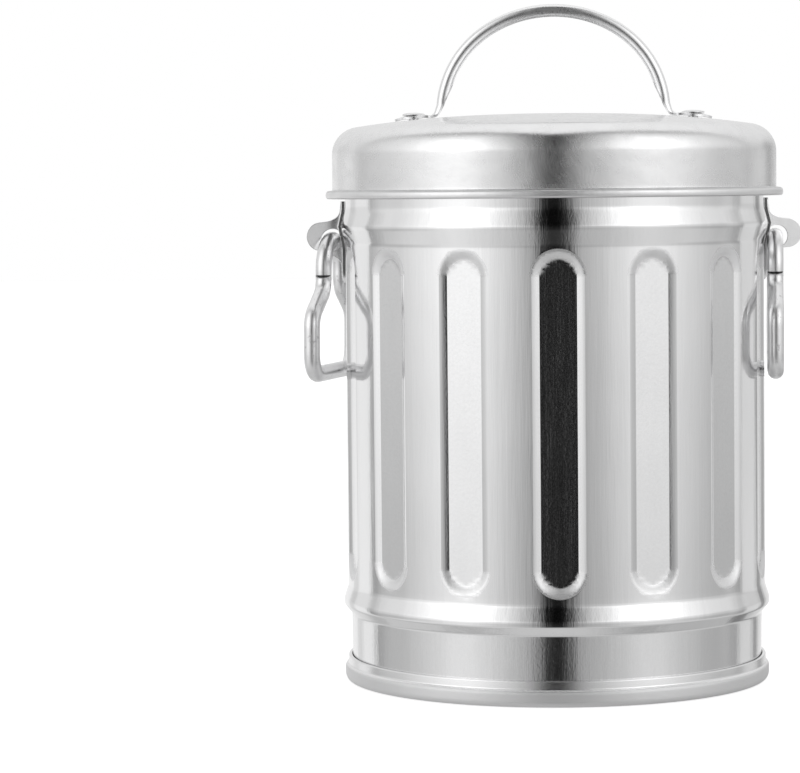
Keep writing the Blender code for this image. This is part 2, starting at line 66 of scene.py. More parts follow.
# ---- The can's wall ------------------------------------------------------------------
# Thin tinned sheet rolled into a tube. The top edge is curled outwards, a bead is swaged
# near each end, and upright flutes with round ends are pressed in between the beads.
class Value:
    """The output of a node. The operators below each add one Math node."""

    def __init__(self, board, socket):
        self.board = board
        self.socket = socket

    def maths(self, operation, *terms):
        sockets = dict(enumerate(terms))
        return self.board.add("ShaderNodeMath", {"operation": operation}, sockets)

    def __add__(self, other):
        return self.maths("ADD", self, other)

    def __sub__(self, other):
        return self.maths("SUBTRACT", self, other)

    def __rsub__(self, other):
        return self.maths("SUBTRACT", other, self)

    def __mul__(self, other):
        return self.maths("MULTIPLY", self, other)

    def __truediv__(self, other):
        return self.maths("DIVIDE", self, other)

    def __rtruediv__(self, other):
        return self.maths("DIVIDE", other, self)

    def __pow__(self, other):
        return self.maths("POWER", self, other)

    def __abs__(self):
        return self.maths("ABSOLUTE", self)

    __radd__ = __add__
    __rmul__ = __mul__


class Board:
    """A node tree with one method that adds a node of any kind."""

    def __init__(self, tree):
        self.tree = tree

    def add(self, kind, settings=None, sockets=None, output=0):
        node = self.tree.nodes.new(kind)
        for name, setting in (settings or {}).items():
            if name == "stops":
                set_stops(node.color_ramp, setting)
            else:
                setattr(node, name, setting)
        for key, value in (sockets or {}).items():
            if isinstance(value, Value):
                self.tree.links.new(value.socket, node.inputs[key])
            else:
                node.inputs[key].default_value = value
        return Value(self, node.outputs[output])

    def ease(self, value, low, high):
        """0 up to low, 1 from high, and a smooth step between them."""
        sockets = {"Value": value, "From Min": low, "From Max": high}
        return self.add("ShaderNodeMapRange", {"interpolation_type": "SMOOTHSTEP"}, sockets)

    def split(self, vector):
        """The three parts of a vector."""
        parts = self.add("ShaderNodeSeparateXYZ", None, {0: vector})
        outputs = parts.socket.node.outputs
        return [Value(self, outputs[index]) for index in range(3)]

    def join(self, x, y, z):
        return self.add("ShaderNodeCombineXYZ", None, {0: x, 1: y, 2: z})

    def noise(self, place, scale, detail=2.0, roughness=0.5):
        """Noise from 0 to 1 whose grain is scale cells to the metre along each axis."""
        scaled = self.add("ShaderNodeVectorMath", {"operation": "MULTIPLY"}, {0: place, 1: scale})
        sockets = {"Vector": scaled, "Scale": 1.0, "Detail": detail, "Roughness": roughness}
        return self.add("ShaderNodeTexNoise", None, sockets)


def set_stops(ramp, stops):
    """Give a colour ramp its (place, grey) stops."""
    while len(ramp.elements) < len(stops):
        ramp.elements.new(1.0)
    for element, (place, grey) in zip(ramp.elements, stops):
        element.position = place
        element.color = (grey, grey, grey, 1.0)


def start_metal(name, grey, roughness):
    """A bare metal: its material, the board of its nodes, and its shader node."""
    material = bpy.data.materials.new(name)
    material.use_nodes = True
    shader = material.node_tree.nodes["Principled BSDF"]
    shader.inputs["Metallic"].default_value = 1.0
    shader.inputs["Base Color"].default_value = (grey, grey, grey, 1.0)
    shader.inputs["Roughness"].default_value = roughness
    return material, Board(material.node_tree), shader


def finish_metal(board, shader, grey, roughness, height):
    """Link a metal's grey, its roughness and the height of its surface, in metres."""
    tint = board.join(grey, grey, grey * 1.004)
    normal = board.add("ShaderNodeBump", None, {"Height": height, "Distance": 1.0, "Strength": 1.0})
    board.tree.links.new(tint.socket, shader.inputs["Base Color"])
    board.tree.links.new(roughness.socket, shader.inputs["Roughness"])
    board.tree.links.new(normal.socket, shader.inputs["Normal"])


def rounded_line(corners):
    """A line of (radius, height, rounding) corners, each cut back and bent to a curve."""
    line = []
    for index, (radius, height, rounding) in enumerate(corners):
        here = Vector((radius, height))
        if rounding == 0.0:
            line.append(tuple(here))
            continue
        before = Vector(corners[index - 1][:2])
        after = Vector(corners[index + 1][:2])
        start = here + (before - here).normalized() * min(rounding, (before - here).length * 0.49)
        end = here + (after - here).normalized() * min(rounding, (after - here).length * 0.49)
        for step in range(6):
            share = step / 5
            first = start.lerp(here, share)
            second = here.lerp(end, share)
            line.append(tuple(first.lerp(second, share)))
    return line


def steps_between(first, last, count):
    """Points of a straight run, its first end left out."""
    first = Vector(first)
    last = Vector(last)
    return [tuple(first.lerp(last, step / count)) for step in range(1, count + 1)]


def arc_line(centre, radius, start, end, count):
    """Points of an arc in (radius, height), angles in degrees."""
    points = []
    for step in range(count + 1):
        angle = math.radians(start + (end - start) * step / count)
        points.append((centre[0] + radius * math.cos(angle), centre[1] + radius * math.sin(angle)))
    return points


def even_turn(count):
    return [math.tau * index / count for index in range(count)]


def turned_sheet(name, line, angles):
    """Turn a line round the upright axis. Going down the line, the outside faces out."""
    shape = bmesh.new()
    rows = []
    for radius, height in line:
        if radius < 1e-7:
            rows.append([shape.verts.new((0.0, 0.0, height))])
        else:
            rows.append([shape.verts.new((radius * math.sin(turn), -radius * math.cos(turn), height))
                         for turn in angles])
    count = len(angles)
    for upper, lower in zip(rows, rows[1:]):
        for index in range(count):
            after = (index + 1) % count
            corners = [upper[index % len(upper)], lower[index % len(lower)],
                       lower[after % len(lower)], upper[after % len(upper)]]
            shape.faces.new(list(dict.fromkeys(corners)))
    mesh = bpy.data.meshes.new(name)
    shape.to_mesh(mesh)
    shape.free()
    piece = bpy.data.objects.new(name, mesh)
    bpy.context.scene.collection.objects.link(piece)
    return piece


def give_thickness(piece, thickness):
    """Thicken a sheet inwards from its outer face."""
    solidify = piece.modifiers.new("sheet", "SOLIDIFY")
    solidify.thickness = thickness
    solidify.offset = -1.0
    solidify.use_even_offset = True


def settle(piece, smooth_angle=40.0):
    """Make the piece's modifiers part of its mesh and shade it round."""
    graph = bpy.context.evaluated_depsgraph_get()
    mesh = bpy.data.meshes.new_from_object(piece.evaluated_get(graph))
    piece.modifiers.clear()
    piece.data = mesh
    mesh.name = piece.name
    mesh.shade_smooth()
    mesh.set_sharp_from_angle(angle=math.radians(smooth_angle))
    return piece


def start_tree(name, inputs):
    """A geometry tree with named inputs: the board, its input values and its output node."""
    tree = bpy.data.node_groups.new(name, "GeometryNodeTree")
    tree.interface.new_socket("Geometry", in_out="INPUT", socket_type="NodeSocketGeometry")
    for label, kind in inputs:
        tree.interface.new_socket(label, in_out="INPUT", socket_type="NodeSocket" + kind)
    tree.interface.new_socket("Geometry", in_out="OUTPUT", socket_type="NodeSocketGeometry")
    board = Board(tree)
    entry = tree.nodes.new("NodeGroupInput")
    values = {socket.name: Value(board, socket) for socket in entry.outputs if socket.name}
    return board, values


def end_tree(board, geometry, material):
    """Close a geometry tree with plain geometry that carries its material."""
    plain = board.add("GeometryNodeRealizeInstances", None, {"Geometry": geometry})
    coated = board.add("GeometryNodeSetMaterial", None, {"Geometry": plain, "Material": material})
    leave = board.tree.nodes.new("NodeGroupOutput")
    board.tree.links.new(coated.socket, leave.inputs[0])


def run_tree(piece, board, sizes):
    """Put a geometry tree on a piece and set its inputs by their names."""
    modifier = piece.modifiers.new(board.tree.name, "NODES")
    modifier.node_group = board.tree
    for item in board.tree.interface.items_tree:
        if item.in_out == "INPUT" and item.name in sizes:
            modifier[item.identifier] = sizes[item.name]


def press_flutes_tree():
    """Sinks flutes into a wall: flat floors, straight borders and half-round ends."""
    labels = ("Count", "Int"), ("Turn", "Float"), ("Wall radius", "Float"), ("Floor distance", "Float")
    labels += ("Floor half width", "Float"), ("Border", "Float"), ("Low centre", "Float")
    labels += ("High centre", "Float"), ("Material", "Material")
    board, size = start_tree("press_flutes", labels)
    place = board.add("GeometryNodeInputPosition")
    x, y, z = board.split(place)
    around = x.maths("ARCTAN2", x, 0.0 - y) - size["Turn"]
    pitch = math.tau / size["Count"]
    nearest = (around / pitch).maths("ROUND", around / pitch)
    local = around - pitch * nearest
    sideways = local * size["Wall radius"]
    beyond = (z - size["High centre"]).maths("MAXIMUM", z - size["High centre"], size["Low centre"] - z)
    beyond = beyond.maths("MAXIMUM", beyond, 0.0)
    distance = (sideways * sideways + beyond * beyond) ** 0.5
    reach = size["Floor half width"] + size["Border"]
    share = (reach - distance) / size["Border"]
    share = share.maths("MINIMUM", share.maths("MAXIMUM", share, 0.0), 1.0)
    eased = share * 0.9 + board.ease(share, 0.0, 1.0) * 0.1
    radius = (x * x + y * y) ** 0.5
    cosine = local.maths("COSINE", local)
    depth = eased * (size["Wall radius"] - size["Floor distance"] / cosine)
    factor = (radius - depth) / radius
    moved = board.join(x * factor, y * factor, z)
    sheet = board.add("GeometryNodeSetPosition", None, {"Geometry": size["Geometry"], "Position": moved})
    end_tree(board, sheet, size["Material"])
    return board


wall_low, wall_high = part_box("body_shell")
FLUTES = 14
FLUTE_TURN = math.radians(1.0)
FLUTE_FLOOR_HALF = 3.9 * MM
FLUTE_BORDER = 1.55 * MM
FLUTE_LOW_CENTRE = 28.2 * MM
FLUTE_HIGH_CENTRE = 88.25 * MM
FLUTE_REACH = 5.6 * MM
UPPER_BEAD = 94.75 * MM
LOWER_BEAD = 14.7 * MM
WALL_RADIUS = wall_high.x - 1.3 * MM
FOOT_RADIUS = WALL_RADIUS - 0.75 * MM
CREST_RADIUS = WALL_RADIUS + 0.98 * MM
FLOOR_DISTANCE = WALL_RADIUS - 0.9 * MM
WALL_SHEET = 0.36 * MM
CREASE_ANGLE = 16.0


def wall_line():
    """The wall's outside from the curled edge down to its foot, as (radius, height)."""
    curl_centre = (WALL_RADIUS + 0.43 * MM, wall_high.z - 0.8 * MM)
    line = arc_line(curl_centre, 0.43 * MM, -70.0, 180.0, 12)
    upper = [
        (WALL_RADIUS, curl_centre[1], 0.0),
        (WALL_RADIUS, UPPER_BEAD + 7.35 * MM, 0.9 * MM),
        (CREST_RADIUS, UPPER_BEAD + 3.7 * MM, 0.8 * MM),
        (WALL_RADIUS, UPPER_BEAD, 0.5 * MM),
        (WALL_RADIUS, FLUTE_HIGH_CENTRE + FLUTE_REACH, 0.0),
    ]
    line += rounded_line(upper)[1:]
    high_end = (WALL_RADIUS, FLUTE_HIGH_CENTRE)
    low_end = (WALL_RADIUS, FLUTE_LOW_CENTRE)
    line += steps_between(line[-1], high_end, 20)
    line += steps_between(high_end, low_end, 7)
    line += steps_between(low_end, (WALL_RADIUS, FLUTE_LOW_CENTRE - FLUTE_REACH), 20)
    lower = [
        (WALL_RADIUS, FLUTE_LOW_CENTRE - FLUTE_REACH, 0.0),
        (WALL_RADIUS, LOWER_BEAD + 6.1 * MM, 0.6 * MM),
        (CREST_RADIUS, LOWER_BEAD + 3.0 * MM, 0.55 * MM),
        (CREST_RADIUS - 0.05 * MM, LOWER_BEAD + 1.95 * MM, 0.35 * MM),
        (FOOT_RADIUS + 0.1 * MM, LOWER_BEAD, 0.3 * MM),
        (FOOT_RADIUS + 0.05 * MM, LOWER_BEAD - 0.8 * MM, 0.0),
        (FOOT_RADIUS - 0.1 * MM, wall_low.z, 0.0),
    ]
    return line + rounded_line(lower)[1:]


def flute_columns():
    """Angles of the wall's columns, close together where a flute's border runs."""
    pitch = math.tau / FLUTES
    half = [1.3, 2.6, 3.5, 3.9, 4.2, 4.55, 4.9, 5.2, 5.45, 5.75, 6.6, 8.4]
    angles = []
    for index in range(FLUTES):
        middle = FLUTE_TURN + pitch * index
        angles += [middle - pitch / 2]
        angles += [middle - arc * MM / WALL_RADIUS for arc in reversed(half)]
        angles += [middle]
        angles += [middle + arc * MM / WALL_RADIUS for arc in half]
    return angles


def make_wall_tin():
    """Bright tinned sheet: upright rolling streaks, frosted flute floors, faint stains.

    The round ends of the flutes are left duller, which softens the shading at their crease.
    """
    material, board, shader = start_metal("bright_tin", 0.82, 0.16)
    place = board.add("ShaderNodeTexCoord", None, None, 3)
    x, y, z = board.split(place)
    radius = (x * x + y * y) ** 0.5
    floor = 1.0 - board.ease(radius, FLOOR_DISTANCE + 0.25 * MM, FLOOR_DISTANCE + 0.6 * MM)
    streak = board.noise(place, (3400.0, 3400.0, 110.0), 3.0, 0.6)
    broad = board.noise(place, (420.0, 420.0, 26.0), 2.0)
    sway = board.noise(place, (70.0, 70.0, 34.0), 1.0)
    frost = board.noise(place, (2100.0, 2100.0, 1500.0), 2.0, 0.6)
    stain = board.noise(place, (160.0, 160.0, 60.0), 4.0, 0.6)
    turned = x.maths("ARCTAN2", y, x) + (math.pi / 2 - FLUTE_TURN)
    pitch = math.tau / FLUTES
    cell = turned / pitch + (FLUTES + 0.5)
    across = (cell - cell.maths("FLOOR", cell) - 0.5) * (pitch * WALL_RADIUS)
    beyond = z.maths("MAXIMUM", z - FLUTE_HIGH_CENTRE, FLUTE_LOW_CENTRE - z)
    beyond = beyond.maths("MAXIMUM", beyond, 0.0)
    outside = (across * across + beyond * beyond) ** 0.5 - (FLUTE_FLOOR_HALF + FLUTE_BORDER)
    round_end = board.ease(outside, -FLUTE_BORDER - 0.5 * MM, -FLUTE_BORDER)
    round_end = round_end * (1.0 - board.ease(outside, 0.3 * MM, 0.6 * MM))
    round_end = round_end * board.ease(beyond, 0.0, 1.0 * MM)
    height = streak * 9.0e-6 + broad * 3.2e-5 + sway * 9.0e-5 + frost * (floor * 1.0e-5 + 2.0e-6)
    roughness = 0.05 + streak * 0.04 + floor * frost * 0.08 + stain * 0.03 + round_end * 0.32
    grey = 0.79 + stain * 0.07 + streak * 0.03 - floor * frost * 0.05
    finish_metal(board, shader, grey, roughness, height)
    return material


wall_tin = make_wall_tin()
can_wall = turned_sheet("can_wall", wall_line(), flute_columns())
flute_sizes = {
    "Count": FLUTES,
    "Turn": FLUTE_TURN,
    "Wall radius": WALL_RADIUS,
    "Floor distance": FLOOR_DISTANCE,
    "Floor half width": FLUTE_FLOOR_HALF,
    "Border": FLUTE_BORDER,
    "Low centre": FLUTE_LOW_CENTRE,
    "High centre": FLUTE_HIGH_CENTRE,
    "Material": wall_tin,
}
run_tree(can_wall, press_flutes_tree(), flute_sizes)
give_thickness(can_wall, WALL_SHEET)
settle(can_wall, CREASE_ANGLE)
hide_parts("body_shell")
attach(can_wall, "can")


# ---- The lock seam -------------------------------------------------------------------
# The tube's two edges are hooked into each other and flattened. It leaves a low strip up
# the back of the wall, on the land between two flutes.
def loft(name, rings, material):
    """Skin a row of closed rings and cap the two ends."""
    shape = bmesh.new()
    loops = [[shape.verts.new(point) for point in ring] for ring in rings]
    for first, second in zip(loops, loops[1:]):
        for index in range(len(first)):
            after = (index + 1) % len(first)
            shape.faces.new((first[index], first[after], second[after], second[index]))
    shape.faces.new(loops[0])
    shape.faces.new(list(reversed(loops[-1])))
    bmesh.ops.recalc_face_normals(shape, faces=shape.faces)
    mesh = bpy.data.meshes.new(name)
    shape.to_mesh(mesh)
    shape.free()
    mesh.materials.append(material)
    piece = bpy.data.objects.new(name, mesh)
    bpy.context.scene.collection.objects.link(piece)
    return piece


def seam_rings():
    """Sections of the seam: a low flat-topped strip that follows the wall's line."""
    middle = FLUTE_TURN + math.tau / FLUTES * 6.5
    section = [(-1.75, -0.1), (-1.7, 0.2), (-1.4, 0.33), (0.0, 0.36), (1.4, 0.33), (1.7, 0.2),
               (1.75, -0.1)]
    rings = []
    for radius, height in wall_line():
        if height > wall_high.z - 2.0 * MM or height < 5.0 * MM or radius > CREST_RADIUS + 0.1 * MM:
            continue
        ring = []
        for sideways, proud in section:
            angle = middle + sideways * MM / WALL_RADIUS
            out = radius + proud * MM
            ring.append((out * math.sin(angle), -out * math.cos(angle), height))
        rings.append(ring)
    return rings


can_seam = loft("can_seam", seam_rings(), wall_tin)
settle(can_seam)
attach(can_seam, "can")


# ---- The base ------------------------------------------------------------------------
# A sunk panel of tinned sheet. Its edge is folded round the wall's foot, and the seaming
# rollers leave a plain collar above a fuller roll that the can stands on.
base_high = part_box("base_disc")[1]
RIM_RADIUS = base_high.x


def make_seam_tin():
    """Tin that the seaming rollers have dragged: rings of fine scuffs, rough on the roll."""
    material, board, shader = start_metal("seam_tin", 0.8, 0.2)
    place = board.add("ShaderNodeTexCoord", None, None, 3)
    x, y, z = board.split(place)
    roll = 1.0 - board.ease(z, 3.1 * MM, 3.6 * MM)
    radius = (x * x + y * y) ** 0.5
    rings = board.noise(board.join(radius, z, radius * 0.0), (2600.0, 2600.0, 1.0), 2.0, 0.6)
    scuff = board.noise(place, (900.0, 900.0, 1700.0), 3.0, 0.65)
    stain = board.noise(place, (130.0, 130.0, 300.0), 3.0, 0.6)
    height = rings * 8.0e-6 + scuff * (roll * 3.0e-5 + 3.0e-6)
    roughness = 0.14 + roll * 0.3 + scuff * 0.1 + stain * 0.04
    grey = 0.78 + stain * 0.06 - roll * 0.08
    finish_metal(board, shader, grey, roughness, height)
    return material


def base_line():
    """The base's skin from the middle of its upper face round to the middle below."""
    top = base_high.z
    wall = FOOT_RADIUS + 0.12 * MM
    corners = [
        (0.0, 4.4 * MM, 0.0),
        (wall - 1.4 * MM, 4.4 * MM, 0.0),
        (wall - 0.9 * MM, 1.2 * MM, 0.0),
        (wall, 1.2 * MM, 0.0),
        (wall, top, 0.1 * MM),
        (RIM_RADIUS - 0.72 * MM, top, 0.25 * MM),
        (RIM_RADIUS - 0.68 * MM, 3.75 * MM, 0.25 * MM),
        (RIM_RADIUS - 0.3 * MM, 3.5 * MM, 0.15 * MM),
        (RIM_RADIUS, 3.0 * MM, 0.35 * MM),
        (RIM_RADIUS, 1.0 * MM, 0.5 * MM),
        (RIM_RADIUS - 0.5 * MM, 0.2 * MM, 0.4 * MM),
        (RIM_RADIUS - 1.4 * MM, 0.0, 0.4 * MM),
        (RIM_RADIUS - 2.5 * MM, 0.0, 0.4 * MM),
        (RIM_RADIUS - 3.1 * MM, 0.6 * MM, 0.5 * MM),
        (RIM_RADIUS - 3.3 * MM, 3.6 * MM, 0.5 * MM),
        (RIM_RADIUS - 4.2 * MM, 4.05 * MM, 0.4 * MM),
        (RIM_RADIUS - 13.0 * MM, 4.05 * MM, 0.8 * MM),
        (RIM_RADIUS - 14.0 * MM, 4.3 * MM, 0.8 * MM),
        (0.0, 4.3 * MM, 0.0),
    ]
    return rounded_line(corners)


seam_tin = make_seam_tin()
can_base = turned_sheet("can_base", base_line(), even_turn(300))
can_base.data.materials.append(seam_tin)
settle(can_base, 60.0)
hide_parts("base_disc")
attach(can_base, "can")


# ---- The two ears --------------------------------------------------------------------
# Lobed plates of tinned strip with a punched hole for the handle's wire. Each slants
# out from the wall, on a narrow tail that is soldered to it from under the lid down.
ear_low, ear_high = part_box("ear_right")
EAR_SHEET = 0.8 * MM
EAR_HOLE = (48.1 * MM, 95.6 * MM)
EAR_HOLE_RADIUS = 2.35 * MM
EAR_SLANT = math.tan(math.radians(12.0))
EAR_LOBE_RADIUS = 3.15 * MM


def copies_round_tree():
    """Repeats a piece at even turns round the upright axis."""
    board, size = start_tree("copies_round", (("Count", "Int"), ("Material", "Material")))
    points = board.add("GeometryNodePoints", None, {"Count": size["Count"], "Position": (0.0, 0.0, 0.0)})
    number = board.add("GeometryNodeInputIndex")
    turn = board.join(0.0, 0.0, number * (math.tau / size["Count"]))
    sockets = {"Points": points, "Instance": size["Geometry"], "Rotation": turn}
    copies = board.add("GeometryNodeInstanceOnPoints", None, sockets)
    end_tree(board, copies, size["Material"])
    return board


def make_cut_tin(name, grey, roughness):
    """Cut strip: short brushed lines both ways, and duller patches near the solder."""
    material, board, shader = start_metal(name, grey, roughness)
    place = board.add("ShaderNodeTexCoord", None, None, 3)
    brushed = board.noise(place, (700.0, 2800.0, 2800.0), 2.0, 0.6)
    wave = board.noise(place, (260.0, 260.0, 260.0), 2.0)
    dull = board.noise(place, (520.0, 520.0, 520.0), 3.0, 0.6)
    height = brushed * 5.0e-6 + wave * 3.0e-5
    rough = roughness + brushed * 0.06 + dull * 0.08
    tone = grey - 0.04 + dull * 0.08
    finish_metal(board, shader, tone, rough, height)
    return material


def ear_plate_outline():
    """The ear's edge as (distance from the can's axis, height), up the lobe and back."""
    wall = WALL_RADIUS + 0.12 * MM
    lobe = (ear_high.x - EAR_LOBE_RADIUS, ear_low.z + 10.1 * MM)
    corners = [
        (wall, ear_low.z, 0.0),
        (wall + 0.55 * MM, ear_low.z + 0.9 * MM, 0.3 * MM),
        (wall + 0.8 * MM, ear_low.z + 4.9 * MM, 1.2 * MM),
        (lobe[0] - 0.9 * MM, lobe[1] - EAR_LOBE_RADIUS - 0.1 * MM, 0.0),
    ]
    outline = rounded_line(corners)
    outline += arc_line(lobe, EAR_LOBE_RADIUS, -90.0, 92.0, 24)
    rest = [
        outline[-1] + (0.0,),
        (lobe[0] - 2.0 * MM, lobe[1] + EAR_LOBE_RADIUS + 0.25 * MM, 1.2 * MM),
        (CREST_RADIUS + 0.35 * MM, UPPER_BEAD + 6.0 * MM, 1.4 * MM),
        (WALL_RADIUS + 0.95 * MM, ear_high.z, 0.0),
        (WALL_RADIUS + 0.35 * MM, ear_high.z, 0.0),
        (WALL_RADIUS + 0.35 * MM, UPPER_BEAD + 6.6 * MM, 0.3 * MM),
        (CREST_RADIUS + 0.02 * MM, UPPER_BEAD + 3.7 * MM, 0.3 * MM),
        (CREST_RADIUS + 0.02 * MM, UPPER_BEAD + 0.6 * MM, 0.0),
        (wall, UPPER_BEAD - 0.7 * MM, 0.0),
    ]
    return outline + rounded_line(rest)[1:]


def flat_plate(name, outlines, thickness, edge):
    """A flat plate in (across, up) with its holes cut and its edges eased."""
    curve = bpy.data.curves.new(name, "CURVE")
    curve.dimensions = "2D"
    curve.fill_mode = "BOTH"
    curve.extrude = thickness / 2 - edge
    curve.bevel_depth = edge
    curve.bevel_resolution = 2
    curve.offset = -edge
    for outline in outlines:
        spline = curve.splines.new("POLY")
        spline.points.add(len(outline) - 1)
        for point, (across, up) in zip(spline.points, outline):
            point.co = (across, up, 0.0, 1.0)
        spline.use_cyclic_u = True
    thing = bpy.data.objects.new(name, curve)
    bpy.context.scene.collection.objects.link(thing)
    graph = bpy.context.evaluated_depsgraph_get()
    mesh = bpy.data.meshes.new_from_object(thing.evaluated_get(graph))
    bpy.data.objects.remove(thing)
    mesh.transform(Matrix.Rotation(math.pi / 2, 4, "X"))
    return mesh


def ear_tail_rings():
    """Sections of the soldered tail, from its pointed foot up to under the lid."""
    stations = [
        (WALL_RADIUS, ear_low.z + 0.05 * MM, 0.25, 0.2),
        (WALL_RADIUS, ear_low.z + 0.8 * MM, 0.75, 0.5),
        (WALL_RADIUS, ear_low.z + 2.4 * MM, 1.3, 0.55),
        (WALL_RADIUS, ear_low.z + 6.6 * MM, 1.4, 0.55),
        (WALL_RADIUS + 0.1 * MM, UPPER_BEAD - 0.1 * MM, 1.4, 0.55),
        (CREST_RADIUS, UPPER_BEAD + 3.7 * MM, 1.4, 0.5),
        (WALL_RADIUS + 0.25 * MM, UPPER_BEAD + 6.6 * MM, 1.4, 0.55),
        (WALL_RADIUS + 0.12 * MM, UPPER_BEAD + 7.6 * MM, 1.4, 0.55),
        (WALL_RADIUS + 0.12 * MM, ear_high.z, 1.4, 0.5),
    ]
    rings = []
    for radius, height, half, thick in stations:
        inner = radius - 0.02 * MM
        outer = radius + (0.12 + thick) * MM
        half = half * MM
        cut = 0.1 * MM
        ring = [(inner, -half), (outer - cut, -half), (outer, -half + cut),
                (outer, half - cut), (outer - cut, half), (inner, half)]
        rings.append([(out, side, height) for out, side in ring])
    return rings


ear_tin = make_cut_tin("ear_tin", 0.96, 0.12)
hole_outline = arc_line(EAR_HOLE, EAR_HOLE_RADIUS, 0.0, 350.0, 35)
ears = loft("ears", ear_tail_rings(), ear_tin)
plate_mesh = flat_plate("ear_plate", [ear_plate_outline(), hole_outline], EAR_SHEET, 0.14 * MM)
lean_back = Matrix.Identity(4)
lean_back[1][0] = EAR_SLANT
lean_back[1][3] = -EAR_SLANT * WALL_RADIUS
plate_mesh.transform(lean_back)
both = bmesh.new()
both.from_mesh(ears.data)
both.from_mesh(plate_mesh)
both.to_mesh(ears.data)
both.free()
pair_sizes = {"Count": 2, "Material": ear_tin}
run_tree(ears, copies_round_tree(), pair_sizes)
settle(ears, 30.0)
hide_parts("ear_left", "ear_right")
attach(ears, "can")


# ---- The two drop handles ------------------------------------------------------------
# Loops of drawn steel wire, narrow at the neck and square at the foot. Each is threaded
# through an ear and bent shut, so that the wire's cut ends meet on one leg.
WIRE_RADIUS = 1.75 * MM
NECK_HALF = 6.8 * MM
FOOT_HALF = 16.0 * MM
LOOP_HEIGHT = 28.6 * MM
FLARE_TOP = -10.6 * MM
FLARE_FOOT = -16.2 * MM
WIRE_BEND = 4.5 * MM
JOINT_HEIGHT = -7.5 * MM


def make_wire_steel():
    """Drawn wire: lines along its length, small nicks, brighter where it is rubbed."""
    material, board, shader = start_metal("drawn_wire", 0.78, 0.2)
    place = board.add("ShaderNodeTexCoord", None, None, 3)
    drawn = board.noise(place, (2600.0, 2600.0, 90.0), 3.0, 0.6)
    nick = board.noise(place, (900.0, 900.0, 900.0), 2.0, 0.5)
    dent = board.noise(place, (240.0, 240.0, 200.0), 2.0)
    height = drawn * 1.2e-5 + dent * 6.0e-5 + board.ease(nick, 0.62, 0.72) * -1.6e-5
    roughness = 0.27 + drawn * 0.1 + board.ease(nick, 0.6, 0.7) * 0.15
    grey = 0.8 + drawn * 0.1 - board.ease(nick, 0.62, 0.74) * 0.2
    finish_metal(board, shader, grey, roughness, height)
    return material


def bend_corner(before, corner, after, radius, count):
    """Points of the arc that rounds a corner between two straight runs."""
    corner = Vector(corner)
    to_before = (Vector(before) - corner).normalized()
    to_after = (Vector(after) - corner).normalized()
    half_angle = to_before.angle(to_after) / 2
    reach = radius / math.tan(half_angle)
    middle = corner + (to_before + to_after).normalized() * (radius / math.sin(half_angle))
    start = corner + to_before * reach - middle
    end = corner + to_after * reach - middle
    turn = start.angle_signed(end)
    turns = [Matrix.Rotation(-turn * step / count, 2) for step in range(count + 1)]
    return [tuple(middle + spin @ start) for spin in turns]


def loop_centre_line():
    """The wire's middle as (sideways, height), from one cut end round to the other."""
    neck = (NECK_HALF, FLARE_TOP)
    flare = (FOOT_HALF, FLARE_FOOT)
    corner = (FOOT_HALF, -LOOP_HEIGHT)
    bottom = (0.0, -LOOP_HEIGHT)
    half = arc_line((0.0, -NECK_HALF), NECK_HALF, 90.0, 0.0, 20)
    upper_bend = bend_corner(half[-1], neck, flare, WIRE_BEND, 8)
    lower_bend = bend_corner(neck, flare, corner, WIRE_BEND, 8)
    foot_bend = bend_corner(flare, corner, bottom, WIRE_BEND, 12)
    for bend in (upper_bend, lower_bend, foot_bend, [bottom]):
        half += steps_between(half[-1], bend[0], 7) + bend
    mirrored = [(-side, height) for side, height in half]
    above = [point for point in mirrored if point[1] > JOINT_HEIGHT + 0.5 * MM]
    below = [point for point in mirrored if point[1] < JOINT_HEIGHT - 0.5 * MM]
    start = [(-NECK_HALF, JOINT_HEIGHT + 0.01 * MM)]
    end = [(-NECK_HALF - 0.2 * MM, JOINT_HEIGHT - 0.01 * MM)]
    return start + list(reversed(above)) + half[1:] + list(reversed(below))[1:] + end


def make_wire_loop(name, node, joint_name, lean, material):
    """Bend the wire through its ear: turned with its hinge, its foot leaning outwards."""
    joint = next(item for item in frame["joints"] if item["name"] == joint_name)
    hinge = Vector(joint["pos_m"])
    twist = math.atan(joint["axis"][0] / joint["axis"][1])
    curve = bpy.data.curves.new(name, "CURVE")
    curve.dimensions = "3D"
    curve.bevel_depth = WIRE_RADIUS
    curve.bevel_resolution = 5
    curve.use_fill_caps = True
    spline = curve.splines.new("POLY")
    route = loop_centre_line()
    spline.points.add(len(route) - 1)
    for point, (side, height) in zip(spline.points, route):
        point.co = (0.0, side, height, 1.0)
    for end in (0, 1):
        spline.points[-end].radius = 0.99
    thing = bpy.data.objects.new(name + "_line", curve)
    bpy.context.scene.collection.objects.link(thing)
    graph = bpy.context.evaluated_depsgraph_get()
    mesh = bpy.data.meshes.new_from_object(thing.evaluated_get(graph))
    bpy.data.objects.remove(thing)
    outwards = math.copysign(1.0, hinge.x)
    spin = Matrix.Rotation(-twist, 4, "Z") @ Matrix.Rotation(-outwards * lean, 4, "Y")
    mesh.transform(Matrix.Translation(hinge) @ spin)
    mesh.materials.clear()
    mesh.materials.append(material)
    loop = bpy.data.objects.new(name, mesh)
    bpy.context.scene.collection.objects.link(loop)
    clean = bmesh.new()
    clean.from_mesh(mesh)
    bmesh.ops.remove_doubles(clean, verts=clean.verts, dist=1e-6)
    bmesh.ops.recalc_face_normals(clean, faces=clean.faces)
    clean.to_mesh(mesh)
    clean.free()
    settle(loop, 45.0)
    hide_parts(node)
    return loop


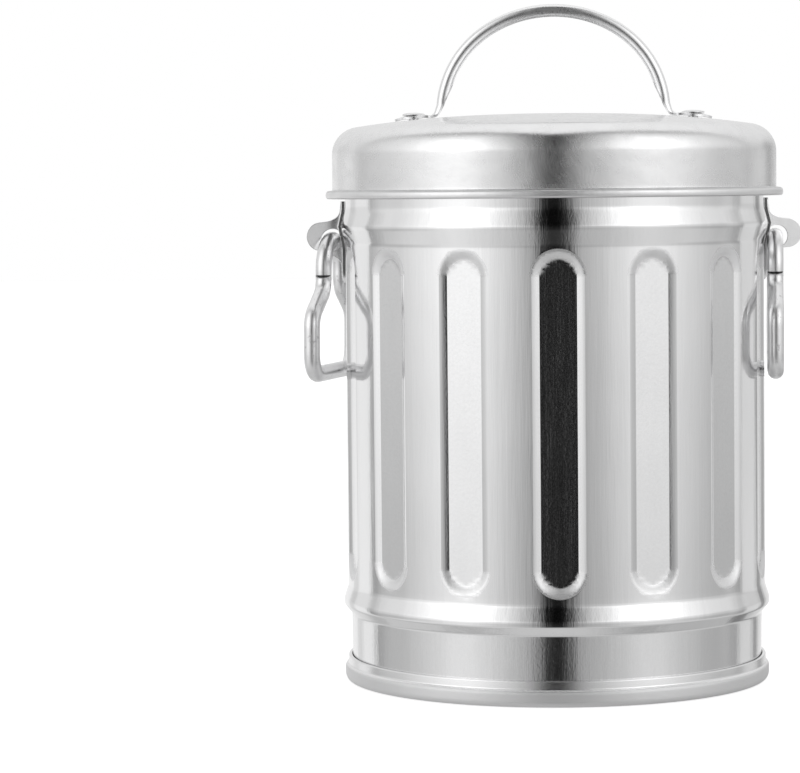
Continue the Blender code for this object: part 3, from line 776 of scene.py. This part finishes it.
wire_steel = make_wire_steel()
wire_loop_left = make_wire_loop("wire_loop_left", "drop_handle_left", "left_handle_swing",
                                math.radians(0.5), wire_steel)
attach(wire_loop_left, "left_handle")
wire_loop_right = make_wire_loop("wire_loop_right", "drop_handle_right", "right_handle_swing",
                                 0.0, wire_steel)
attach(wire_loop_right, "right_handle")


# ---- The lid -------------------------------------------------------------------------
# Drawn from one disc: a gently domed top, a round shoulder, a plain skirt, and a lip that
# flares out to a hemmed edge. The coin slot is punched behind the handle.
lid_low, lid_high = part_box("lid_shell")
LID_RADIUS = 47.95 * MM
SHOULDER = 6.0 * MM
SHOULDER_Z = 113.9 * MM
LID_SHEET = 0.45 * MM
LIP_RADIUS = lid_high.y - 0.1 * MM
SLOT_LENGTH = 32.0 * MM
SLOT_WIDTH = 3.6 * MM
SLOT_PLACE = 17.0 * MM


def make_lid_tin():
    """Drawn and wiped tin: drag marks round the shoulder, curved wipes and blotches, a rough pitted hem
    darkened as painted shade, and a painted highlight on the hem's outer rim.
    """
    material, board, shader = start_metal("wiped_tin", 0.82, 0.2)
    place = board.add("ShaderNodeTexCoord", None, None, 3)
    x, y, z = board.split(place)
    # The hem below is rougher and pitted, and its grey is darkened there as painted shade.
    lip = 1.0 - board.ease(z, lid_low.z + 1.8 * MM, lid_low.z + 2.1 * MM)
    radius = (x * x + y * y) ** 0.5
    # Painted highlight: the hem's outer rim is painted lighter, standing in for the light line it
    # catches.
    edge = board.ease(radius, LIP_RADIUS - 0.3 * MM, LIP_RADIUS - 0.02 * MM)
    warp = board.noise(place, (55.0, 55.0, 90.0), 1.0)
    slanted = board.join(x + z * 0.55 + warp * 0.02, y, z - x * 0.35 + warp * 0.02)
    wipes = board.noise(slanted, (2300.0, 2300.0, 260.0), 3.0, 0.65)
    drawn = board.noise(board.join(radius, z, x * 0.02), (1900.0, 1500.0, 900.0), 2.0, 0.6)
    sway = board.noise(place, (95.0, 95.0, 120.0), 2.0)
    blotch = board.noise(place, (240.0, 240.0, 330.0), 3.0, 0.6)
    pits = board.noise(place, (1300.0, 1300.0, 1500.0), 2.0, 0.6)
    height = wipes * 9.0e-6 + drawn * 4.0e-6 + sway * 1.1e-4 + pits * (lip * 3.0e-5 + 1.5e-6)
    roughness = 0.18 + wipes * 0.1 + board.ease(blotch, 0.3, 0.9) * 0.08 + lip * 0.12
    # In the grey, lip paints shade on the hem and edge paints a highlight on its outer rim.
    grey = 0.82 + wipes * 0.05 - board.ease(blotch, 0.3, 0.9) * 0.05 - lip * 0.2 + edge * 0.2
    finish_metal(board, shader, grey, roughness, height)
    return material


def lid_surface(radius):
    """Height of the lid's domed top at a distance from the axis."""
    edge = LID_RADIUS - SHOULDER + SHOULDER * math.cos(math.radians(80.0))
    edge_z = SHOULDER_Z + SHOULDER * math.sin(math.radians(80.0))
    return edge_z + (lid_high.z - edge_z) * (1.0 - (radius / edge) ** 2.5)


def lid_line():
    """The lid's outside from the middle of its top to the hem, as (radius, height)."""
    edge = LID_RADIUS - SHOULDER + SHOULDER * math.cos(math.radians(80.0))
    line = [(edge * share, lid_surface(edge * share))
            for share in (0.0, 0.06, 0.12, 0.2, 0.3, 0.4, 0.5, 0.6, 0.7, 0.78, 0.85, 0.9, 0.94, 0.97)]
    line += arc_line((LID_RADIUS - SHOULDER, SHOULDER_Z), SHOULDER, 80.0, 0.0, 20)
    lip = [
        (LID_RADIUS, SHOULDER_Z, 0.0),
        (LID_RADIUS, lid_low.z + 1.85 * MM, 0.15 * MM),
        (LIP_RADIUS - 0.4 * MM, lid_low.z + 1.75 * MM, 0.3 * MM),
        (LIP_RADIUS, lid_low.z + 1.3 * MM, 0.4 * MM),
        (LIP_RADIUS, lid_low.z + 0.4 * MM, 0.35 * MM),
        (LIP_RADIUS - 0.35 * MM, lid_low.z, 0.25 * MM),
        (LIP_RADIUS - 0.9 * MM, lid_low.z + 0.1 * MM, 0.0),
    ]
    line += steps_between(line[-1], (LID_RADIUS, lid_low.z + 2.6 * MM), 5)
    return line + rounded_line(lip)[1:]


def cut_slot(lid):
    """Punch the round-ended coin slot through the lid's top."""
    half_run = (SLOT_LENGTH - SLOT_WIDTH) / 2
    outline = arc_line((half_run, SLOT_PLACE), SLOT_WIDTH / 2, -90.0, 90.0, 12)
    outline += arc_line((-half_run, SLOT_PLACE), SLOT_WIDTH / 2, 90.0, 270.0, 12)
    rings = [[(across, back, height) for across, back in outline]
             for height in (SHOULDER_Z + 2.0 * MM, lid_high.z + 3.0 * MM)]
    punch = loft("slot_punch", rings, lid.data.materials[0])
    cut = lid.modifiers.new("slot", "BOOLEAN")
    cut.operation = "DIFFERENCE"
    cut.solver = "EXACT"
    cut.object = punch
    return punch


lid_tin = make_lid_tin()
lid_cap = turned_sheet("lid_cap", lid_line(), even_turn(320))
lid_cap.data.materials.append(lid_tin)
give_thickness(lid_cap, LID_SHEET)
slot_punch = cut_slot(lid_cap)
settle(lid_cap, 35.0)
bpy.data.objects.remove(slot_punch)
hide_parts("lid_shell")
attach(lid_cap, "lid")


# ---- The strap handle ----------------------------------------------------------------
# A tinned strap bent to a half round, with both edges rolled under along the arch. Its
# ends are beaten out to leaves that lie on the lid and swell up round the rivets.
strap_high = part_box("lid_handle")[1]
ARCH_HALF_SPAN = 25.3 * MM
STRAP_HALF = 3.7 * MM
STRAP_SHEET = 0.5 * MM
LEAF_HALF = 4.5 * MM
RIVET_PLACE = 30.2 * MM
BOSS_RISE = 0.55 * MM
HEEL_BEND = 1.4 * MM


def strap_stations():
    """Stations along half of the strap, tip to crown: x, z, turn, half width, roll, boss."""
    stations = []
    tip = strap_high.x
    leaf_start = ARCH_HALF_SPAN + 1.6 * MM
    lift = 0.06 * MM + STRAP_SHEET
    for step in range(25):
        share = step / 24
        x = tip + (leaf_start - tip) * share
        leaf = math.sqrt(max(1.0 - (1.0 - min(share * 1.7, 1.0)) ** 2, 0.02))
        waist = max(share - 0.55, 0.0) / 0.45
        waist = waist * waist * (3.0 - 2.0 * waist)
        half = LEAF_HALF * leaf + (STRAP_HALF - LEAF_HALF) * waist
        boss = math.exp(-((x - RIVET_PLACE) / (3.2 * MM)) ** 4)
        stations.append((x, lid_surface(x) + lift, math.pi / 2, half, 0.03, BOSS_RISE * boss))
    base_z = lid_surface(ARCH_HALF_SPAN) + lift
    heel = (leaf_start, base_z + HEEL_BEND)
    for step in range(1, 5):
        turn = math.radians(-90.0 - 80.0 * step / 5)
        x = heel[0] + HEEL_BEND * math.cos(turn)
        z = heel[1] + HEEL_BEND * math.sin(turn)
        stations.append((x, z, math.pi + turn, STRAP_HALF, 0.05 + 0.1 * step, 0.0))
    rise = strap_high.z - base_z
    for step in range(2, 37):
        share = step / 36
        angle = math.pi / 2 * share
        x = ARCH_HALF_SPAN * math.cos(angle)
        z = base_z + rise * math.sin(angle) ** 0.96
        turn = math.atan2(math.sin(angle) / rise, math.cos(angle) / ARCH_HALF_SPAN)
        stations.append((x, z, turn, STRAP_HALF, min(1.0, 0.45 + share * 3.0), 0.0))
    return stations


def strap_line(half, roll):
    """The strap's outer face as (sideways, outwards), from one rolled edge to the other."""
    bend = min(1.3 * MM, half * 0.4)
    flat = half - bend
    crown = 0.12 * MM * roll
    shares = (0.0, 0.15, 0.3, 0.45, 0.6, 0.75, 0.9, 1.0)
    points = [(flat * share, -crown * share * share) for share in shares]
    for step in range(1, 10):
        turn = math.radians(150.0 * step / 9 * roll)
        side = flat + bend * (math.sin(turn) if roll > 0.3 else turn)
        fall = -crown - bend * (1.0 - math.cos(turn))
        points.append((min(side, half), fall))
    return [(-side, fall) for side, fall in reversed(points[1:])] + points


def make_strap(material):
    """Lay the strap's section along its stations and thicken it inwards."""
    near = strap_stations()
    far = [(-x, z, math.pi - turn, *rest) for x, z, turn, *rest in reversed(near[:-1])]
    shape = bmesh.new()
    rows = []
    for x, z, turn, half, roll, boss in near + far:
        out = Vector((math.cos(turn), 0.0, math.sin(turn)))
        row = []
        for side, fall in strap_line(half, roll):
            swell = boss * math.exp(-(side / (2.9 * MM)) ** 4)
            row.append(shape.verts.new(Vector((x, side, z)) + out * (fall + swell)))
        rows.append(row)
    for first, second in zip(rows, rows[1:]):
        for index in range(len(first) - 1):
            shape.faces.new((first[index], first[index + 1], second[index + 1], second[index]))
    mesh = bpy.data.meshes.new("lid_strap")
    shape.to_mesh(mesh)
    shape.free()
    mesh.materials.append(material)
    strap = bpy.data.objects.new("lid_strap", mesh)
    bpy.context.scene.collection.objects.link(strap)
    return strap


def make_strap_tin():
    """Strap tin: lines rolled along its width and a broad waviness, both shifting its grey."""
    material, board, shader = start_metal("strap_tin", 0.82, 0.2)
    place = board.add("ShaderNodeTexCoord", None, None, 3)
    along = board.noise(place, (500.0, 3300.0, 500.0), 3.0, 0.6)
    wave = board.noise(place, (190.0, 190.0, 190.0), 2.0)
    grain = board.noise(place, (1500.0, 1500.0, 1500.0), 2.0, 0.6)
    height = along * 8.0e-6 + wave * 6.0e-5 + grain * 2.0e-6
    roughness = 0.2 + along * 0.1 + grain * 0.06
    grey = 0.84 + wave * 0.06 + along * 0.03
    finish_metal(board, shader, grey, roughness, height)
    return material


strap_tin = make_strap_tin()
lid_strap = make_strap(strap_tin)
give_thickness(lid_strap, STRAP_SHEET)
settle(lid_strap, 45.0)
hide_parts("lid_handle")
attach(lid_strap, "lid")


# ---- The lid's rivets ----------------------------------------------------------------
# Two soft steel rivets hold the leaves down. Each has a low domed head, and its tail is
# clenched over inside the lid.
rivet_low, rivet_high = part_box("lid_rivet_right")
rivet_middle = (rivet_low.x + rivet_high.x) / 2
RIVET_RISE = 0.45 * MM
SHANK_RADIUS = 1.1 * MM


def rivet_line():
    """A rivet's outside from the top of its head to the end of its tail."""
    head = (rivet_high.x - rivet_low.x) / 2
    seat = lid_surface(RIVET_PLACE) + 0.1 * MM + STRAP_SHEET + BOSS_RISE
    under = lid_surface(RIVET_PLACE) - LID_SHEET - 0.02 * MM
    line = [(head * math.sin(turn), seat + RIVET_RISE * math.cos(turn))
            for turn in (math.pi / 2 * step / 9 for step in range(10))]
    line += [(head - 0.1 * MM, seat - 0.15 * MM)]
    line += [(SHANK_RADIUS, seat - 0.16 * MM), (SHANK_RADIUS, under)]
    line += [(2.0 * MM, under), (1.9 * MM, under - 0.35 * MM), (1.2 * MM, under - 0.65 * MM)]
    return line + [(0.0, under - 0.75 * MM)]


def make_rivet_steel():
    """Rivet steel: a hammered crown with small flats."""
    material, board, shader = start_metal("rivet_steel", 0.7, 0.3)
    place = board.add("ShaderNodeTexCoord", None, None, 3)
    flats = board.noise(place, (750.0, 750.0, 750.0), 1.0)
    grain = board.noise(place, (2600.0, 2600.0, 2600.0), 2.0, 0.6)
    height = flats * 6.0e-5 + grain * 5.0e-6
    roughness = 0.26 + grain * 0.12
    grey = 0.78 + flats * 0.1
    finish_metal(board, shader, grey, roughness, height)
    return material


rivet_steel = make_rivet_steel()
lid_rivets = turned_sheet("lid_rivets", rivet_line(), even_turn(32))
lid_rivets.data.transform(Matrix.Translation((rivet_middle, 0.0, 0.0)))
run_tree(lid_rivets, copies_round_tree(), {"Count": 2, "Material": rivet_steel})
settle(lid_rivets, 50.0)
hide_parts("lid_rivet_left", "lid_rivet_right")
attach(lid_rivets, "lid")


# ---- Floor, light and camera ---------------------------------------------------------
# A plain pale floor, and a studio of soft boxes on both sides with a dark gap in front.
def make_floor():
    """A wide pale sheet that the can stands on, left out of the metal's reflections."""
    half = 3.0
    shape = bmesh.new()
    corners = [(-half, -half), (half, -half), (half, half), (-half, half)]
    shape.faces.new([shape.verts.new((x, y, cad_low.z)) for x, y in corners])
    mesh = bpy.data.meshes.new("floor")
    shape.to_mesh(mesh)
    shape.free()
    floor = bpy.data.objects.new("floor", mesh)
    bpy.context.scene.collection.objects.link(floor)
    material = bpy.data.materials.new("pale_floor")
    material.use_nodes = True
    shader = material.node_tree.nodes["Principled BSDF"]
    shader.inputs["Base Color"].default_value = (0.7, 0.7, 0.7, 1.0)
    shader.inputs["Roughness"].default_value = 0.9
    shader.inputs["Emission Color"].default_value = (1.0, 1.0, 1.0, 1.0)
    shader.inputs["Emission Strength"].default_value = 0.62
    mesh.materials.append(material)
    floor.visible_glossy = False


def make_studio():
    """The studio's brightness by direction: soft boxes left and right, a dark gap between.

    Stops are (degrees, brightness). spread goes by the angle round from the front, gap and
    narrowing by the angle away from the middle plane, and rise and back_rise by the height
    above straight down, in front of the can and behind it.
    """
    world = bpy.data.worlds.new("studio")
    bpy.context.scene.world = world
    world.use_nodes = True
    world.node_tree.nodes.clear()
    board = Board(world.node_tree)
    direction = board.add("ShaderNodeTexCoord", None, None, 0)
    x, y, z = board.split(direction)
    side = abs(x)
    flat = (x * x + y * y) ** 0.5
    degrees = 180.0 / math.pi
    turned = x.maths("ARCTAN2", x, 0.0 - y) * degrees
    azimuth = abs(turned)
    elevation = z.maths("ARCTAN2", z, flat) * degrees
    lateral = side.maths("ARCSINE", side) * degrees
    spread = [(0.0, 1.19), (52.0, 1.19), (59.0, 1.17), (66.0, 1.09), (74.0, 0.98), (83.0, 0.88),
              (92.0, 0.75), (103.0, 0.72), (180.0, 0.7)]
    gap = [(0.0, 0.008), (4.0, 0.01), (6.8, 0.06), (9.0, 0.21), (13.0, 0.375), (19.0, 0.51),
           (26.0, 0.637), (32.0, 0.76), (39.0, 0.86), (45.0, 0.96), (50.0, 1.0), (90.0, 1.0)]
    narrowing = [(0.0, 0.7), (63.0, 0.7), (90.0, 1.0), (110.0, 1.45), (180.0, 1.45)]
    rise = [(0.0, 0.6), (45.0, 0.62), (63.0, 0.76), (78.0, 0.75), (82.0, 0.76), (84.0, 0.81),
            (86.0, 0.87), (88.0, 0.95), (88.7, 1.0), (90.0, 0.97), (93.0, 1.0), (98.0, 1.15),
            (180.0, 1.15)]
    back_rise = [(0.0, 0.62), (60.0, 0.64), (78.0, 0.9), (82.0, 0.95), (90.0, 0.92), (92.0, 0.83),
                 (110.0, 0.83), (150.0, 1.0), (180.0, 1.0)]
    ramps = []
    for value, stops, last in ((azimuth, spread, 180.0), (lateral, gap, 90.0),
                               (elevation + 90.0, narrowing, 180.0), (elevation + 90.0, rise, 180.0),
                               (elevation + 90.0, back_rise, 180.0)):
        settings = {"stops": [(place / last, grey / 2) for place, grey in stops]}
        ramps.append(board.add("ShaderNodeValToRGB", settings, {0: value / last}) * 2.0)
    around, opening, power, front_lift, back_lift = ramps
    behind = board.ease(y - side * 1.08, -0.4, -0.34)
    below = 1.0 - board.ease(elevation, -60.0, -30.0)
    opening = opening ** power
    opening = opening * (1.0 - behind) + behind
    opening = opening * (1.0 - below) + below
    overhead = board.ease(elevation, 4.0, 12.0) * (1.0 - board.ease(elevation, 62.0, 70.0))
    front_lift = front_lift * (overhead * (1.0 - board.ease(azimuth, 55.0, 80.0)) * 0.3 + 1.0)
    around = around * (1.0 - board.ease(y - side * 1.08, -0.75, -0.42) * (1.0 - behind) * 0.3)
    near_level = 1.0 - board.ease(elevation, 4.0, 16.0)
    low = (1.0 - board.ease(elevation, -24.0, -12.0)) * board.ease(azimuth, 60.0, 95.0)
    around = around + low * 0.28
    right_side = board.ease(x, 0.2, 0.45) * (1.0 - board.ease(azimuth, 100.0, 115.0)) * near_level
    around = around * (1.0 - right_side * 0.14)
    right_back = board.ease(x, 0.1, 0.4) * behind * near_level
    right_stripe = board.ease(abs(turned - 147.0), 7.0, 3.0) * near_level
    left_stripe = board.ease(abs(turned + 145.0), 7.0, 3.0) * near_level
    around_back = (1.0 - right_back * 0.2) * (1.0 - right_stripe * 0.55) * (1.0 - left_stripe * 0.2)
    front = around * front_lift * opening * (1.0 - behind)
    light = front + around_back * back_lift * behind
    seen = board.add("ShaderNodeLightPath")
    strength = light * (1.0 - seen) + seen
    glow = board.add("ShaderNodeBackground", None, {"Color": (1.0, 1.0, 1.0, 1.0), "Strength": strength})
    leave = world.node_tree.nodes.new("ShaderNodeOutputWorld")
    world.node_tree.links.new(glow.socket, leave.inputs["Surface"])


def make_camera():
    """A long lens a little under the lid's height, looking slightly down."""
    stand = (0.0, -0.718, 0.1076)
    yaw = math.radians(2.69)
    pitch = math.radians(3.51)
    roll = math.radians(-0.55)
    level = math.cos(pitch)
    forward = Vector((-math.sin(yaw) * level, math.cos(yaw) * level, -math.sin(pitch)))
    right = forward.cross(Vector((0.0, 0.0, 1.0))).normalized()
    up = right.cross(forward)
    across = right * math.cos(roll) + up * math.sin(roll)
    upwards = up * math.cos(roll) - right * math.sin(roll)
    data = bpy.data.cameras.new("camera")
    data.lens = 148.7
    data.sensor_width = 36.0
    data.clip_start = 0.05
    data.clip_end = 20.0
    camera = bpy.data.objects.new("camera", data)
    bpy.context.scene.collection.objects.link(camera)
    turn = Matrix((across, upwards, -forward)).transposed().to_4x4()
    camera.matrix_world = Matrix.Translation(stand) @ turn
    bpy.context.scene.camera = camera


make_floor()
make_studio()
make_camera()
bpy.context.scene.view_settings.view_transform = "Standard"
